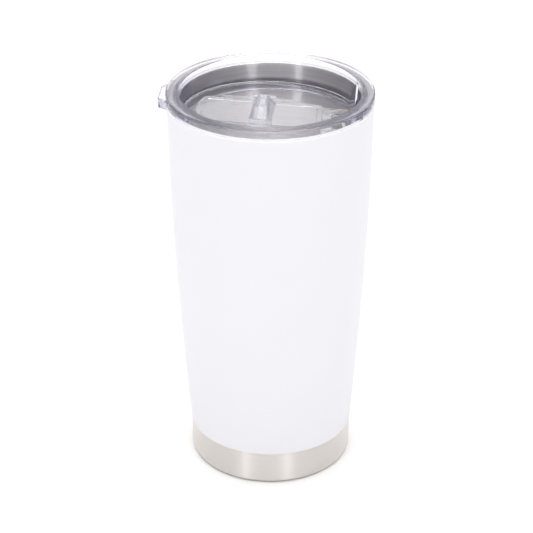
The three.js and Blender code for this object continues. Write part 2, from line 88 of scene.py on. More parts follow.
BAND_HEIGHT = coating_low[2]  # top of the bare foot band
LIP_TOP = shell_high[2]
FOOT_RADIUS = 36.1
STEEL_RIM = 43.55  # bare outside at the rim
STRAIGHT_HEIGHT = 14.6  # straight cone above the band
WALL_FULLNESS = 1.666  # how much steeper the wall leaves the band than a plain cone
SHEET = 0.5  # steel of every wall and bottom
COATING = coating_high[0] - shell_high[0]
COATING_EDGE = 0.12  # rounding of the coating's edge at the band
VACUUM_GAP = 3
HAIRLINE = 0.05  # between welded or bonded pieces
LIP_ROUND = 1
FOOT_FILLET = 2.2
FOOT_OPENING = cover_high[0] + HAIRLINE  # inside of the foot ring
MOUTH_OUTSIDE = liner_high[0]
SHOULDER_HEIGHT = 5  # from the straight mouth to the tapered liner
PORT_RADIUS = 1.1
DIMPLE_RADIUS = 6
DIMPLE_FOOT_RADIUS = 8.4
DIMPLE_RISE = 2.4
HOLDER_WALL = 0.4

TOTAL_HEIGHT = lid_high[2]
FLANGE_RADIUS = lid_high[0]
RIM_HEIGHT = LIP_TOP + 0.1  # underside of the flange
PLUG_FOOT = lid_low[2]
PLUG_RADIUS = 40.4
PLUG_LEAD = 0.8  # taper at the plug's foot
GROOVE_RADIUS = 39.2
RECESS_FOOT_RADIUS = 37.4
RECESS_TOP_RADIUS = 38.5
NECK_FOOT = PLUG_FOOT - 1.2  # where the liner's straight mouth ends
INTO_WALL = 0.8  # how far joined pieces reach into the recess wall

FLOOR_TILT = math.radians(3.25)
RECESS_DEPTH = 12.4
FLOOR_CENTRE = TOTAL_HEIGHT - RECESS_DEPTH  # where the lid's floor meets the axis
LID_FLOOR = 2
FLOOR_FILLET = 1.1  # round corner between floor and recess wall
TAB_TOP = 172.6
TAB_FOOT = 168.2
TAB_REACH = -lid_low[0]
TAB_TIP_WIDTH = 14
TAB_ROOT_WIDTH = 20

# lengths on the lid's floor: along the slide from the axis, across it, and up from the floor
SIP_WALL_FOOT = RECESS_FOOT_RADIUS - 5.2
SIP_WALL_LEAN = 2.6 / RECESS_DEPTH
SIP_WALL_ROOT = 2.3  # thickness of the flat wall at the floor
SIP_WALL_TAPER = 1.4 / RECESS_DEPTH  # how fast it thins upwards
SUMP_DEPTH = 1
SUMP_LENGTH = 10.4
SUMP_WIDTH = 27.4
SIP_LENGTH = 16.4
SIP_WIDTH = 5.2
SIP_CORNER = 2.4
SIP_FLARE = 0.5  # rounding of the hole's upper edge
SIP_CENTRE = SIP_WALL_FOOT - 1 - SIP_WIDTH / 2
GAP = 0.3  # running clearance of the slider
SLIDER_WIDTH = 25.2
SLIDER_THICKNESS = 1.5
SLIDER_TRAVEL = 10.1
SLIDER_FRONT = SIP_WALL_FOOT - 0.3 - SLIDER_TRAVEL
SLIDER_TAIL_RADIUS = RECESS_FOOT_RADIUS - 5.8
SLIDER_CORNER = 2.5
TRAY_MARGIN = 2.2  # raised border round the shallow tray in the slider's top
TRAY_DEPTH = 0.35
RAIL_INNER = SLIDER_WIDTH / 2 + GAP
RAIL_THICKNESS = 1.1
RAIL_LIP = 0.4
RAIL_HEIGHT = 2.1
RAIL_LENGTH = 33.8
GRIP_ALONG = SLIDER_FRONT - 25.4
GRIP_HEIGHT = 7
GRIP_FOOT_WIDTH = 10
GRIP_TOP_WIDTH = 5.3
GRIP_TOP_LENGTH = 14
GRIP_SHOULDER_LENGTH = 23
GRIP_WALL = 1.3
GRIP_CORNER = 0.6
ARM_THICKNESS = 1
RAIL_FRONT = GRIP_ALONG + GRIP_FOOT_WIDTH / 2 + SLIDER_TRAVEL + GAP


# ---- surfaces ----


def steel_radius(z):
    """Outside radius of the steel wall: a band, a straight cone, then a parabola to a nearly upright rim.

    With u the share of the way up, the radius goes from foot to rim as F u - (F - 1) bend^2, where bend is
    the share of the way up the part above the straight cone.
    """
    rise = LIP_TOP - BAND_HEIGHT
    u = np.maximum(0, z - BAND_HEIGHT) / rise
    start = STRAIGHT_HEIGHT / rise
    bend = np.maximum(0, u - start) / (1 - start)
    share = WALL_FULLNESS * u - (WALL_FULLNESS - 1) * bend**2
    return FOOT_RADIUS + (STEEL_RIM - FOOT_RADIUS) * share


def wall(low, high, offset):
    """Points (r, z) up the steel wall, moved outwards by an offset; from high to low they run downwards."""
    z = np.linspace(low, high, WALL_STEPS)
    return np.stack([steel_radius(z) + offset, z], axis=1)


def rounded(corners, closed=True, steps=ARC_STEPS):
    """A polyline through corners (a, b, radius), each radius an arc that touches both of its sides.

    The arc's centre lies on the corner's bisector, radius / sin(half angle) away, and its points are the
    two touching points turned into each other about that centre.
    """
    corners = np.array([tuple(corner) + (0,) * (3 - len(corner)) for corner in corners], float)
    last = len(corners) - 1
    pieces = []
    for i, (a, b, radius) in enumerate(corners):
        here = np.array([a, b])
        if radius == 0 or (not closed and i in (0, last)):
            pieces.append(here[None])
            continue
        back = corners[i - 1][:2] - here
        on = corners[(i + 1) % (last + 1)][:2] - here
        back, on = back / np.linalg.norm(back), on / np.linalg.norm(on)
        half = np.arccos(np.clip(back @ on, -1, 1)) / 2
        bisector = (back + on) / np.linalg.norm(back + on)
        centre = here + bisector * radius / np.sin(half)
        first = here + back * radius / np.tan(half) - centre
        final = here + on * radius / np.tan(half) - centre
        sweep = np.pi - 2 * half
        t = np.linspace(0, 1, steps)[:, None]
        turned_radius = (np.sin((1 - t) * sweep) * first + np.sin(t * sweep) * final) / np.sin(sweep)
        pieces.append(centre + turned_radius)
    return np.concatenate(pieces)


def skin(layers, ring=False):
    """Points and faces over closed loops of points, layer by layer.

    Faces join each point to the next in its loop and to the same point in the next layer. The first and
    last loops are closed by flat caps, or with ring=True joined to each other.
    """
    rows, columns = layers.shape[:2]
    index = np.arange(rows * columns).reshape(rows, columns)
    if ring:
        index = np.vstack([index, index[:1]])
    along = np.roll(index, -1, axis=1)
    quads = np.stack([index[:-1], along[:-1], along[1:], index[1:]], axis=-1).reshape(-1, 4).tolist()
    caps = [] if ring else [index[0, ::-1].tolist(), index[-1].tolist()]
    return layers.reshape(-1, 3), quads + caps


def turned(profile, fall=0.0, ring=True, sides=SIDES):
    """Surface of revolution about Z: (r cos a, r sin a, z - fall r cos a), with fall a value per point.

    The profile (r, z) runs anticlockwise with r to the right, so that faces point outwards. With
    ring=False it starts and ends at the axis side, and flat caps close it.
    """
    profile = np.asarray(profile, float)
    angle = np.linspace(0, 2 * np.pi, sides, endpoint=False)
    x = profile[:, :1] * np.cos(angle)
    y = profile[:, :1] * np.sin(angle)
    z = profile[:, 1:2] - np.reshape(fall, (-1, 1)) * x
    return skin(np.stack([x, y, z], axis=-1), ring)


def inset(outline, distance):
    """An anticlockwise outline moved inwards, each point along the bisector of its two sides' normals."""
    on = np.roll(outline, -1, axis=0) - outline
    on /= np.linalg.norm(on, axis=1, keepdims=True)
    normal = np.stack([-on[:, 1], on[:, 0]], axis=1)
    bisector = normal + np.roll(normal, 1, axis=0)
    bisector *= 2 / np.sum(bisector**2, axis=1, keepdims=True)
    return outline + distance * bisector


def slab(outline, low, high, edge=0.0, place=(0, 1, 2)):
    """An outline run from low to high, with both ends' edges rounded.

    Near an end the outline is inset by edge (1 - sin t) at edge (1 - cos t) from the end. place says which
    axes the outline's two directions and the run lie along.
    """
    outline = np.asarray(outline, float)
    if edge:
        t = np.linspace(0, np.pi / 2, ARC_STEPS)
        insets = np.concatenate([edge * (1 - np.sin(t)), edge * (1 - np.sin(t))[::-1]])
        heights = np.concatenate([low + edge * (1 - np.cos(t)), (high - edge * (1 - np.cos(t)))[::-1]])
    else:
        insets, heights = np.zeros(2), np.array([low, high])
    loops = np.stack([inset(outline, d) for d in insets])
    run = np.broadcast_to(heights[:, None, None], loops.shape[:2] + (1,))
    return skin(np.concatenate([loops, run], axis=2)[..., np.argsort(place)])


def on_floor(surface):
    """A surface made from the lid's floor outwards, tilted about Y and lifted onto the sloping floor."""
    points, faces = surface
    x, y, z = points.T
    sine, cosine = math.sin(FLOOR_TILT), math.cos(FLOOR_TILT)
    laid = np.stack([x * cosine + z * sine, y, z * cosine - x * sine + FLOOR_CENTRE], axis=1)
    return laid, faces


# ---- meshes and pieces ----


def mesh_object(name, surface):
    """A mesh object at the origin, in metres, with its place in its mesh."""
    points, faces = surface
    mesh = bpy.data.meshes.new(name)
    mesh.from_pydata((np.asarray(points) * MM).tolist(), [], faces)
    made = bpy.data.objects.new(name, mesh)
    bpy.context.scene.collection.objects.link(made)
    return made


def finish_shading(made):
    """Smooth faces, crisp edges at sharp angles, and normals weighted towards the broad faces."""
    mesh = made.data
    mesh.polygons.foreach_set("use_smooth", np.ones(len(mesh.polygons), bool))
    mesh.set_sharp_from_angle(angle=SHARP_ANGLE)
    weighted = made.modifiers.new("broad_faces_first", "WEIGHTED_NORMAL")
    weighted.keep_sharp = True


def dress(made, node, body, material):
    """Shades a piece, gives it its material, and ties it to its body, node and slot."""
    finish_shading(made)
    made.data.materials.clear()
    made.data.materials.append(material)
    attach(made, body)
    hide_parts(node)


def combined(name, first, steps):
    """A solid joined with, cut by or kept within others in turn; steps holds (operation, surface)."""
    made = mesh_object(name, first)
    tools = []
    for number, (operation, surface) in enumerate(steps):
        tool = mesh_object(f"{name}_tool_{number}", surface)
        modifier = made.modifiers.new(tool.name, "BOOLEAN")
        modifier.operation = operation
        modifier.solver = "MANIFOLD"
        modifier.object = tool
        tools.append(tool)
    bpy.context.view_layer.update()
    evaluated = made.evaluated_get(bpy.context.evaluated_depsgraph_get())
    result = bpy.data.meshes.new_from_object(evaluated)
    made.modifiers.clear()
    made.data = result
    for tool in tools:
        bpy.data.objects.remove(tool)
    return made


def surface_of(made):
    """Points in millimetres and faces of a mesh object, which is then removed."""
    mesh = made.data
    points = np.zeros(len(mesh.vertices) * 3)
    mesh.vertices.foreach_get("co", points)
    faces = [list(polygon.vertices) for polygon in mesh.polygons]
    bpy.data.objects.remove(made)
    return points.reshape(-1, 3) / MM, faces


# ---- materials ----


class Value:
    """A shader socket that can be used in sums; each operation adds a Math node."""

    def __init__(self, finish, socket):
        self.finish, self.socket = finish, socket

    def maths(self, operation, *others, backwards=False):
        terms = [self, *others]
        if backwards:
            terms.reverse()
        return self.finish.node("ShaderNodeMath", {"operation": operation}, dict(enumerate(terms)))

    def __add__(self, other):
        return self.maths("ADD", other)

    def __sub__(self, other):
        return self.maths("SUBTRACT", other)

    def __mul__(self, other):
        return self.maths("MULTIPLY", other)

    def __rsub__(self, other):
        return self.maths("SUBTRACT", other, backwards=True)

    __radd__ = __add__
    __rmul__ = __mul__


class Nodes:
    """The nodes of a material or of the world."""

    def __init__(self, owner, output):
        owner.use_nodes = True
        self.tree = owner.node_tree
        self.tree.nodes.clear()
        self.output = self.tree.nodes.new(output)

    def node(self, kind, settings=None, sockets=None, result=0):
        """Adds a node: its settings first, then values or links for its sockets; returns one output."""
        made = self.tree.nodes.new(kind)
        for key, value in (settings or {}).items():
            setattr(made, key, value)
        for key, value in (sockets or {}).items():
            if isinstance(value, Value):
                self.tree.links.new(value.socket, made.inputs[key])
            else:
                made.inputs[key].default_value = value
        return Value(self, made.outputs[result])

    def climb(self, value, start, end):
        """A soft step from 0 at start to 1 at end."""
        settings = {"interpolation_type": "SMOOTHSTEP"}
        return self.node("ShaderNodeMapRange", settings, {"Value": value, "From Min": start, "From Max": end})

    def height(self, coordinates):
        """The Z part of coordinates."""
        return self.node("ShaderNodeSeparateXYZ", None, {"Vector": coordinates}, "Z")

    def show(self, shader, socket="Surface"):
        self.tree.links.new(shader.socket, self.output.inputs[socket])


class Finish(Nodes):
    """A material for one of the record's slots, and the nodes in it."""

    def __init__(self, slot):
        self.material = bpy.data.materials.new(slot + "_finish")
        self.material["slot"] = slot
        super().__init__(self.material, "ShaderNodeOutputMaterial")

    def place(self, upward=1):
        """Object coordinates, with heights stretched by upward, so that noise on them runs in level lines."""
        where = self.node("ShaderNodeTexCoord", result="Object")
        return self.node("ShaderNodeMapping", None, {"Vector": where, "Scale": (1, 1, upward)})

    def noise(self, where, scale, detail=2.0, roughness=0.5):
        """Noise from 0 to 1."""
        sockets = {"Vector": where, "Scale": scale, "Detail": detail, "Roughness": roughness}
        return self.node("ShaderNodeTexNoise", None, sockets)

    def tint(self, amount, low, high):
        """A colour between two, by an amount from 0 to 1."""
        settings = {"data_type": "RGBA"}
        sockets = {0: amount, 6: (*low, 1), 7: (*high, 1)}
        return self.node("ShaderNodeMix", settings, sockets, result=2)

    def bump(self, height, strength, distance_mm):
        sockets = {"Height": height, "Strength": strength, "Distance": distance_mm * MM}
        return self.node("ShaderNodeBump", None, sockets)

    def surface(self, **sockets):
        """The main shader; socket names are given with underscores for spaces."""
        named = {key.replace("_", " "): value for key, value in sockets.items()}
        self.show(self.node("ShaderNodeBsdfPrincipled", None, named))


def brushed_steel():
    """Bare steel brushed round the cup: fine level lines in roughness, colour and height."""
    finish = Finish("brushed_steel")
    fine = finish.noise(finish.place(60), 300, 3, 0.6)
    broad = finish.noise(finish.place(25), 40, 2)
    finish.surface(
        Base_Color=finish.tint(fine * 0.7 + broad * 0.3, (0.80, 0.758, 0.722), (0.93, 0.885, 0.85)),
        Metallic=1,
        Roughness=0.36 + fine * 0.10 + broad * 0.06,
        Anisotropic=1,
        Anisotropic_Rotation=0.25,
        Normal=finish.bump(fine, 0.35, 0.02),
    )
    return finish.material


def white_coating():
    """Baked powder coating: satin, with a grain of about a third of a millimetre and faint shade drift."""
    finish = Finish("white_coating")
    grain = finish.noise(finish.place(), 2600, 2, 0.5)
    drift = finish.noise(finish.place(), 22, 2)
    finish.surface(
        Base_Color=finish.tint(drift, (0.814, 0.809, 0.846), (0.83, 0.825, 0.862)),
        Roughness=0.42 + grain * 0.12,
        Normal=finish.bump(grain, 0.10, 0.03),
    )
    return finish.material


def liner_steel():
    """The liner's steel, polished finely round the cup, with streaks from spinning. Its colour has a darker
    band of painted shade where the gasket sits, and painted light makes it brightest deep inside."""
    finish = Finish("liner_steel")
    fine = finish.noise(finish.place(50), 260, 3, 0.6)
    streaks = finish.noise(finish.place(90), 8, 3, 0.7)
    z = finish.height(finish.place())
    low, high = (gasket_low[2] - 1.2) * MM, (gasket_high[2] + 1.2) * MM
    # painted shade: the steel's colour is darker in a band where the gasket sits
    painted_shade_band = finish.climb(z, low - 0.4 * MM, low) * (1 - finish.climb(z, high, high + 1.4 * MM))
    # painted light: the steel's colour is brighter deep inside the cup
    deep = 1 - finish.climb(z, low - 8 * MM, low - 2 * MM)
    # the colour's mix: polish and spinning streaks, minus the painted shade band, plus the painted light deep
    # inside; the painted shade mostly reaches the dark end of the tint
    shade = fine * 0.3 + streaks * 0.5 + 0.2 - painted_shade_band * 0.5 + deep * 0.25
    finish.surface(
        Base_Color=finish.tint(shade, (0.16, 0.155, 0.155), (1.0, 0.985, 0.97)),
        Metallic=1,
        Roughness=0.30 + fine * 0.10,
        Anisotropic=1,
        Anisotropic_Rotation=0.25,
        Normal=finish.bump(fine, 0.25, 0.015),
    )
    return finish.material


def copper_foil():
    """Thin foil with the soft creases of a sheet wrapped by hand."""
    finish = Finish("copper_foil")
    creases = finish.noise(finish.place(), 90, 4, 0.6)
    finish.surface(
        Base_Color=finish.tint(creases, (0.70, 0.34, 0.20), (0.84, 0.47, 0.31)),
        Metallic=1,
        Roughness=0.18 + creases * 0.15,
        Normal=finish.bump(creases, 0.8, 0.4),
    )
    return finish.material


def inner_steel():
    """Mill-finish sheet, with the faint mottle that rolling leaves."""
    finish = Finish("inner_steel")
    mottle = finish.noise(finish.place(), 400, 3)
    finish.surface(
        Base_Color=finish.tint(mottle, (0.56, 0.55, 0.54), (0.68, 0.67, 0.66)),
        Metallic=1,
        Roughness=0.34 + mottle * 0.14,
        Normal=finish.bump(mottle, 0.2, 0.02),
    )
    return finish.material


def base_steel():
    """The bottom disc, with fine rings turned about its centre."""
    finish = Finish("base_steel")
    rings = finish.node(
        "ShaderNodeTexWave",
        {"wave_type": "RINGS", "rings_direction": "Z", "wave_profile": "SIN"},
        {"Vector": finish.place(), "Scale": 420.0, "Distortion": 1.2, "Detail": 2.0, "Detail Scale": 8.0},
        result=1,
    )
    wear = finish.noise(finish.place(), 120, 3)
    finish.surface(
        Base_Color=finish.tint(wear, (0.66, 0.635, 0.61), (0.76, 0.735, 0.71)),
        Metallic=1,
        Roughness=0.24 + rings * 0.08 + wear * 0.12,
        Normal=finish.bump(rings, 0.3, 0.02),
    )
    return finish.material


def solder_glass():
    """Dark glossy bead of melted glass, with tiny bubbles under its skin."""
    finish = Finish("solder_glass")
    bubbles = finish.noise(finish.place(), 1800, 2)
    finish.surface(
        Base_Color=finish.tint(bubbles, (0.02, 0.022, 0.026), (0.07, 0.075, 0.085)),
        Roughness=0.08 + bubbles * 0.1,
        Normal=finish.bump(bubbles, 0.15, 0.05),
    )
    return finish.material


def getter_alloy():
    """Dull pressed metal powder."""
    finish = Finish("getter_alloy")
    powder = finish.noise(finish.place(), 4200, 4, 0.7)
    finish.surface(
        Base_Color=finish.tint(powder, (0.10, 0.098, 0.095), (0.26, 0.255, 0.25)),
        Metallic=0.7,
        Roughness=0.65 + powder * 0.2,
        Normal=finish.bump(powder, 0.6, 0.08),
    )
    return finish.material


def clear_plastic(name, density, haze):
    """Clear moulded plastic: glass-like, faintly violet by its thickness, with a moulding's soft ripple and a
    little haze. Painted shade darkens its colour where it is seen edge-on, and light from the lamps passes
    straight through.
    """
    finish = Finish(name)
    ripple = finish.noise(finish.place(), 60, 2)
    moulded = {
        "Roughness": 0.02,
        "IOR": 1.5,
        "Transmission Weight": 1 - haze,
        "Normal": finish.bump(ripple, 0.05, 0.3),
    }
    clear = finish.node("ShaderNodeBsdfPrincipled", None, {**moulded, "Base Color": (1, 1, 1, 1)})
    # painted shade: a darker copy of the plastic, mixed in where a face is seen edge-on
    dark = finish.node("ShaderNodeBsdfPrincipled", None, {**moulded, "Base Color": (0.28, 0.27, 0.33, 1)})
    painted_edge_shade = finish.node("ShaderNodeLayerWeight", None, {"Blend": 0.5}, "Facing")
    glass = finish.node("ShaderNodeMixShader", None, {0: painted_edge_shade * painted_edge_shade * painted_edge_shade, 1: clear, 2: dark})
    for_lamps = finish.node("ShaderNodeLightPath", result="Is Shadow Ray")
    straight = finish.node("ShaderNodeBsdfTransparent", None, {"Color": (0.98, 0.98, 0.99, 1)})
    finish.show(finish.node("ShaderNodeMixShader", None, {0: for_lamps, 1: glass, 2: straight}))
    violet = {"Color": (0.15, 0.08, 0.85, 1), "Density": density}
    finish.show(finish.node("ShaderNodeVolumeAbsorption", None, violet), "Volume")
    return finish.material


LID_VIOLET, LID_HAZE = 9, 0.02
SLIDER_VIOLET, SLIDER_HAZE = 6, 0.07


def silicone():
    """Smoke-clear satin silicone."""
    finish = Finish("silicone")
    bloom = finish.noise(finish.place(), 300, 2)
    finish.surface(
        Base_Color=finish.tint(bloom, (0.38, 0.38, 0.40), (0.46, 0.46, 0.48)),
        Roughness=0.2 + bloom * 0.1,
        Transmission_Weight=1,
        IOR=1.41,
        Normal=finish.bump(bloom, 0.1, 0.05),
    )
    return finish.material


# ---- the cup ----


def outer_shell():
    """Foot ring, fillet, band, wall and the lip that turns in to meet the liner."""
    top = LIP_TOP - LIP_ROUND
    lip_inner = MOUTH_OUTSIDE + HAIRLINE
    outside = [(FOOT_OPENING, 0), (FOOT_RADIUS, 0, FOOT_FILLET), (FOOT_RADIUS, BAND_HEIGHT)]
    lip = [
        (steel_radius(top), top),
        (steel_radius(top), LIP_TOP, LIP_ROUND),
        (lip_inner, LIP_TOP),
        (lip_inner, LIP_TOP - SHEET),
        (steel_radius(top) - SHEET, LIP_TOP - SHEET, LIP_ROUND - SHEET),
        (steel_radius(top) - SHEET, top),
    ]
    inside = [
        (FOOT_RADIUS - SHEET, BAND_HEIGHT),
        (FOOT_RADIUS - SHEET, SHEET, FOOT_FILLET - SHEET),
        (FOOT_OPENING, SHEET),
    ]
    return turned(np.concatenate([
        rounded(outside, closed=False, steps=10),
        wall(BAND_HEIGHT, top, 0)[1:-1],
        rounded(lip, closed=False),
        wall(top, BAND_HEIGHT, -SHEET)[1:-1],
        rounded(inside, closed=False),
    ]))


def body_coating():
    """Coating from its rounded edge above the band up to the rounding of the lip."""
    top = LIP_TOP - LIP_ROUND
    angle = np.linspace(0, np.pi / 4, ARC_STEPS)[1:]
    centre = steel_radius(top) - LIP_ROUND
    over = LIP_ROUND + COATING
    under = LIP_ROUND + HAIRLINE / 2
    lip_out = np.stack([centre + over * np.cos(angle), top + over * np.sin(angle)], axis=1)
    lip_in = np.stack([centre + under * np.cos(angle), top + under * np.sin(angle)], axis=1)
    edge = rounded([
        (FOOT_RADIUS + HAIRLINE / 2, BAND_HEIGHT),
        (FOOT_RADIUS + COATING, BAND_HEIGHT, COATING_EDGE),
        (steel_radius(BAND_HEIGHT + 1) + COATING, BAND_HEIGHT + 1),
    ], closed=False)
    return turned(np.concatenate([
        edge,
        wall(BAND_HEIGHT + 2, top, COATING),
        lip_out,
        lip_in[::-1],
        wall(top, BAND_HEIGHT, HAIRLINE / 2)[:-1],
    ]))


def liner_side(offset):
    """Points up one side of the liner: tapered wall, soft shoulder, straight mouth."""
    shoulder = NECK_FOOT - SHOULDER_HEIGHT
    taper = wall(liner_low[2], shoulder - 4, -SHEET - VACUUM_GAP - offset)
    neck = rounded([
        tuple(taper[-1]),
        (steel_radius(shoulder) - SHEET - VACUUM_GAP - offset, shoulder, 6),
        (MOUTH_OUTSIDE - offset, NECK_FOOT, 4),
        (MOUTH_OUTSIDE - offset, LIP_TOP),
    ], closed=False)
    return np.concatenate([taper[:-1], neck])


def liner_wall():
    """Straight mouth, shoulder and tapered wall, of one thickness."""
    return turned(np.concatenate([liner_side(0), liner_side(SHEET)[::-1]]))


def liner_bottom():
    """Pan with a round corner that meets the liner's wall."""
    outside, low, top = pan_high[0], pan_low[2], pan_high[2]
    corner = top - low
    return turned(rounded([
        (POLE, low),
        (outside, low, corner - 0.01),
        (outside, top),
        (outside - SHEET, top),
        (outside - SHEET, low + SHEET, corner - SHEET - 0.01),
        (POLE, low + SHEET),
    ], closed=False, steps=14), ring=False)


def reflective_foil():
    """Foil wrapped round the liner."""
    low, high = foil_low[2], foil_high[2]
    inner = HAIRLINE - SHEET - VACUUM_GAP
    return turned(np.concatenate([wall(low, high, inner + 0.1), wall(high, low, inner)]))


def outer_bottom():
    """Welded bottom: a skirt, a joggle over the foot ring, and a raised dimple with the port."""
    ledge, low = bottom_low[2], cover_high[2] + HAIRLINE
    raised = low + DIMPLE_RISE
    under = [
        (PORT_RADIUS, raised), (DIMPLE_RADIUS, raised, 1), (DIMPLE_FOOT_RADIUS, low, 1),
        (cover_high[0], low, 0.3),
        (cover_high[0] + SHEET, ledge, 0.2),
        (bottom_high[0] - FOOT_FILLET + SHEET, ledge, 0.8),
        (bottom_high[0], FOOT_FILLET + SHEET, 0.8), (bottom_high[0], bottom_high[2]),
    ]
    over = [
        (bottom_high[0] - SHEET, bottom_high[2]),
        (bottom_high[0] - SHEET, FOOT_FILLET + 1.5 * SHEET, 0.5),
        (bottom_high[0] - FOOT_FILLET + SHEET / 2, ledge + SHEET, 0.5),
        (cover_high[0] + SHEET, ledge + SHEET, 0.2), (cover_high[0], low + SHEET, 0.2),
        (DIMPLE_FOOT_RADIUS, low + SHEET, 1), (DIMPLE_RADIUS, raised + SHEET, 1),
        (PORT_RADIUS, raised + SHEET),
    ]
    return turned(np.concatenate([rounded(under, closed=False), rounded(over, closed=False)]))


def base_cover():
    """Bottom disc: two shallow spun steps and a rounded edge."""
    radius, low, top = cover_high[0], cover_low[2], cover_high[2]
    return turned(rounded([
        (POLE, low + 0.12), (9, low + 0.12, 1.5), (9.6, low, 1.5),
        (radius - 3.4, low, 1.5), (radius - 2.8, low + 0.1, 1), (radius - 1.8, low + 0.1, 1),
        (radius - 1.4, low, 0.6), (radius, low, 0.24), (radius, top), (POLE, top),
    ], closed=False), ring=False)


def vacuum_seal_bead():
    """Bead: half a squashed ball under the dimple, and a plug through the port."""
    radius, low = bead_high[0], bead_low[2]
    stem = PORT_RADIUS - HAIRLINE
    seat = low + 0.55 * DIMPLE_RISE
    angle = np.linspace(-np.pi / 2, 0, 18)[1:]
    dome = np.stack([radius * np.cos(angle), seat + (seat - low) * np.sin(angle)], axis=1)
    plug = [(stem, seat), (stem, bead_high[2]), (FINE_POLE, bead_high[2])]
    return turned(np.concatenate([dome, plug]), ring=False)


def getter_holder():
    """Cup for the getter, open downwards, with rounded rims."""
    radius, low, top = holder_high[0], holder_low[2], holder_high[2]
    inside, under = radius - HOLDER_WALL, top - HOLDER_WALL
    return turned(rounded([
        (FINE_POLE, under), (inside, under), (inside, low, 0.15),
        (radius, low, 0.15), (radius, top, 0.3), (FINE_POLE, top),
    ], closed=False), ring=False)


def getter_pellet():
    """Pressed pellet with rounded edges."""
    radius, low, top = pellet_high[0], pellet_low[2], pellet_high[2]
    return turned(rounded([
        (FINE_POLE, low), (radius, low, 0.25), (radius, top, 0.25), (FINE_POLE, top),
    ], closed=False), ring=False)


# ---- the lid ----


def lid_shell():
    """The lid's turned shell with its sloping floor, as one profile whose inner part falls towards +X."""
    outside = rounded([
        (RECESS_FOOT_RADIUS, PLUG_FOOT, 0.3),
        (GROOVE_RADIUS, PLUG_FOOT, 0.4),
        (PLUG_RADIUS, PLUG_FOOT + PLUG_LEAD, 0.3),
        (PLUG_RADIUS, gasket_low[2] - HAIRLINE, 0.2),
        (GROOVE_RADIUS, gasket_low[2] - HAIRLINE, 0.2),
        (GROOVE_RADIUS, gasket_high[2] + HAIRLINE, 0.2),
        (PLUG_RADIUS, gasket_high[2] + HAIRLINE, 0.2),
        (PLUG_RADIUS, RIM_HEIGHT, 0.4),
        (FLANGE_RADIUS, RIM_HEIGHT, 0.15),
        (FLANGE_RADIUS, TOTAL_HEIGHT, 1.0),
        (RECESS_TOP_RADIUS, TOTAL_HEIGHT, 0.7),
        (RECESS_FOOT_RADIUS, FLOOR_CENTRE, 0),
    ], closed=False)[:-1]
    lean = (RECESS_TOP_RADIUS - RECESS_FOOT_RADIUS) / (TOTAL_HEIGHT - FLOOR_CENTRE)
    inner_foot = RECESS_FOOT_RADIUS + 0.12
    fillet = np.linspace(0, np.pi / 2, 8)
    corner = np.stack([
        inner_foot + lean * FLOOR_FILLET - FLOOR_FILLET * (1 - np.cos(fillet)),
        FLOOR_CENTRE + FLOOR_FILLET * (1 - np.sin(fillet)),
    ], axis=1)
    floor = np.array([(20, FLOOR_CENTRE), (POLE, FLOOR_CENTRE)])
    underside = rounded([
        (POLE, FLOOR_CENTRE - LID_FLOOR),
        (RECESS_FOOT_RADIUS, FLOOR_CENTRE - LID_FLOOR, 0.6),
        (RECESS_FOOT_RADIUS, PLUG_FOOT + 0.35),
    ], closed=False)
    inside = np.concatenate([corner, floor])
    level = np.zeros(len(outside))
    sloped = np.full(len(inside), math.tan(FLOOR_TILT))
    sloped_under = np.full(len(underside), math.tan(FLOOR_TILT))
    sloped_under[-1] = 0
    profile = np.concatenate([underside, outside, inside])
    return turned(profile, np.concatenate([sloped_under, level, sloped]), ring=False)


def inside_wall():
    """Room inside the lid that pieces joined to its wall may fill, ending a little way into the wall."""
    low, high = PLUG_FOOT + 0.2, TOTAL_HEIGHT - 0.5
    return turned([
        (POLE, low),
        (RECESS_FOOT_RADIUS + INTO_WALL, low),
        (RECESS_FOOT_RADIUS + INTO_WALL, FLOOR_CENTRE),
        (RECESS_TOP_RADIUS + INTO_WALL, high),
        (POLE, high),
    ], ring=False)


def sip_wall():
    """Flat leaning wall behind the sip hole, thinner upwards, cut to the lid's round wall."""
    low, high = -1, 16
    front = [SIP_WALL_FOOT + SIP_WALL_LEAN * z for z in (low, high)]
    back = [x + SIP_WALL_ROOT - SIP_WALL_TAPER * z for x, z in zip(front, (low, high))]
    section = [(front[0], low), (back[0], low), (back[1], high), (front[1], high)]
    flat = on_floor(slab(section, -FLANGE_RADIUS, FLANGE_RADIUS, place=(0, 2, 1)))
    return surface_of(combined("sip_wall", flat, [("INTERSECT", inside_wall())]))


def sump():
    """Shallow sump whose floor falls to the flat wall."""
    start = SIP_WALL_FOOT - SUMP_LENGTH
    outline = [
        (start - 1, SUMP_DEPTH / SUMP_LENGTH),
        (SIP_WALL_FOOT, -SUMP_DEPTH),
        (SIP_WALL_FOOT, 1),
        (start - 1, 1),
    ]
    return on_floor(slab(outline, -SUMP_WIDTH / 2, SUMP_WIDTH / 2, place=(0, 2, 1)))


def sip_hole():
    """Slot through the floor, flared into its upper edge.

    The cutter's outline grows by flare (1 - cos t) as its height nears the floor, which rounds the rim.
    """
    near, far = SIP_CENTRE - SIP_WIDTH / 2, SIP_CENTRE + SIP_WIDTH / 2
    half = SIP_LENGTH / 2
    outline = rounded([
        (near, -half, SIP_CORNER), (far, -half, SIP_CORNER),
        (far, half, SIP_CORNER), (near, half, SIP_CORNER),
    ])
    t = np.linspace(0, np.pi / 2, ARC_STEPS)
    rim = -SUMP_DEPTH * 0.7
    growth = np.concatenate([[0], SIP_FLARE * (1 - np.cos(t)), [SIP_FLARE]])
    heights = np.concatenate([[-LID_FLOOR - 1], rim - SIP_FLARE + SIP_FLARE * np.sin(t), [1]])
    loops = np.stack([inset(outline, -g) for g in growth])
    run = np.broadcast_to(heights[:, None, None], loops.shape[:2] + (1,))
    return on_floor(skin(np.concatenate([loops, run], axis=2)))


